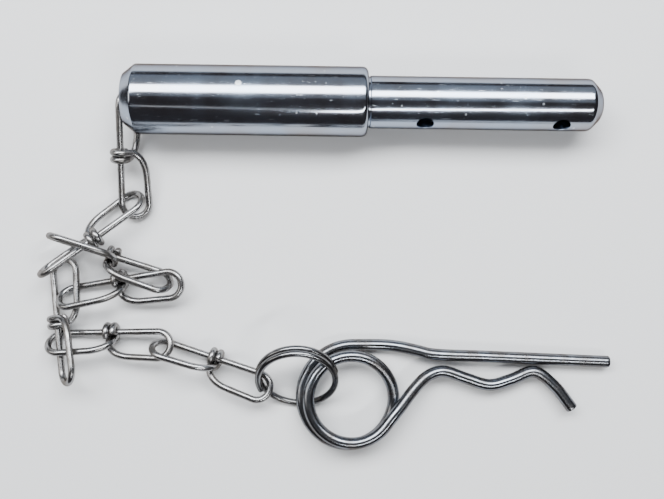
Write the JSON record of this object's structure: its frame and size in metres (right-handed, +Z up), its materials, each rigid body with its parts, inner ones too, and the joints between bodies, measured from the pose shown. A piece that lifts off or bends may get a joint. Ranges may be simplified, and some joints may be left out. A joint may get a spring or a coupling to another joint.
{
  "type": "hitch pin lock",
  "caption": "Stepped implement hitch pin with a knotted wire chain, split ring and double-coil R-clip that locks it through a cross hole.",
  "frame": {"origin": "on the pin's axis, at the shoulder where the thick body steps down to the shank", "axes": "+X along the pin towards the shank tip, +Y from the tether's side towards the pin, +Z up from the surface it lies on"},
  "size_m": [0.2138, 0.1417, 0.0254],
  "materials": {
    "zinc_plated_steel": "bright zinc plate over turned and drawn steel, lightly scratched",
    "spring_steel": "darker plated spring wire, semi-bright"
  },
  "bodies": {
    "pin": {"hitch_pin": "zinc_plated_steel"},
    "chain_link_1": {"chain_link_1": "zinc_plated_steel"},
    "chain_link_2": {"chain_link_2": "zinc_plated_steel"},
    "chain_link_3": {"chain_link_3": "zinc_plated_steel"},
    "chain_link_4": {"chain_link_4": "zinc_plated_steel"},
    "chain_link_5": {"chain_link_5": "zinc_plated_steel"},
    "chain_link_6": {"chain_link_6": "zinc_plated_steel"},
    "chain_link_7": {"chain_link_7": "zinc_plated_steel"},
    "split_ring": {"split_ring": "spring_steel"},
    "r_clip": {"r_clip": "spring_steel"}
  },
  "joints": [
    {"name": "eye_swing", "type": "hinge", "parent": "pin", "child": "chain_link_1", "pos_m": [-0.0881, -0.0019, -0.0027], "axis": [-0.8632, 0.1506, -0.4818], "range_deg": [-8, 28]},
    {"name": "link_1_2_swing", "type": "hinge", "parent": "chain_link_1", "child": "chain_link_2", "pos_m": [-0.0912, -0.0373, -0.0084], "axis": [0.2514, 0.0704, 0.9653], "range_deg": [-44, 31]},
    {"name": "link_2_3_swing", "type": "hinge", "parent": "chain_link_2", "child": "chain_link_3", "pos_m": [-0.1008, -0.0555, -0.0047], "axis": [-0.939, 0.1498, 0.3097], "range_deg": [-44, 10]},
    {"name": "link_3_4_swing", "type": "hinge", "parent": "chain_link_3", "child": "chain_link_4", "pos_m": [-0.0785, -0.0641, -0.0063], "axis": [-0.9325, -0.01, -0.361], "range_deg": [-44, 13]},
    {"name": "link_4_5_swing", "type": "hinge", "parent": "chain_link_4", "child": "chain_link_5", "pos_m": [-0.1163, -0.0736, -0.01], "axis": [-0.4185, -0.0498, 0.9068], "range_deg": [-13, 7]},
    {"name": "link_5_6_swing", "type": "hinge", "parent": "chain_link_5", "child": "chain_link_6", "pos_m": [-0.1139, -0.0873, -0.011], "axis": [0.4894, -0.6691, -0.5593], "range_deg": [-13, 25]},
    {"name": "link_6_7_swing", "type": "hinge", "parent": "chain_link_6", "child": "chain_link_7", "pos_m": [-0.074, -0.0945, -0.004], "axis": [-0.542, -0.7327, -0.4115], "range_deg": [-44, 44]},
    {"name": "ring_swing", "type": "hinge", "parent": "chain_link_7", "child": "split_ring", "pos_m": [-0.0376, -0.1067, -0.0046], "axis": [-0.3515, 0.3615, 0.8636], "range_deg": [-10, 44]},
    {"name": "clip_swing", "type": "hinge", "parent": "split_ring", "child": "r_clip", "pos_m": [-0.0218, -0.1121, -0.0111], "axis": [-0.6097, -0.5297, -0.5897], "range_deg": [-19, 44]}
  ]
}
